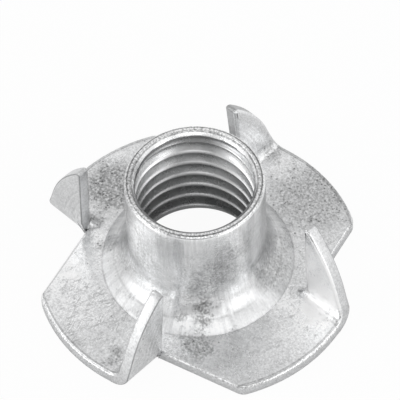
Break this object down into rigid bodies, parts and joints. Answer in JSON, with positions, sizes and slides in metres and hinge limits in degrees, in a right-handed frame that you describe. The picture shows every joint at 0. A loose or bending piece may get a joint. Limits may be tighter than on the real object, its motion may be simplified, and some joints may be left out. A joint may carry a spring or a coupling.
{
  "type": "tee nut",
  "caption": "One-piece zinc-plated steel tee nut: a threaded barrel rising from a round pinwheel flange whose lobes end in curved prongs, for a bolt into timber.",
  "frame": {"origin": "on the barrel's axis, at the underside of the flange", "axes": "+Z along the barrel, from the flange out of the barrel's mouth; +X along one prong's fold"},
  "size_m": [0.0256, 0.0256, 0.0112],
  "materials": {
    "zinc_plate": "bright zinc plating over pressed sheet steel, satin with polished and scuffed patches"
  },
  "bodies": {
    "root": {"tee_nut": "zinc_plate"}
  },
  "joints": []
}
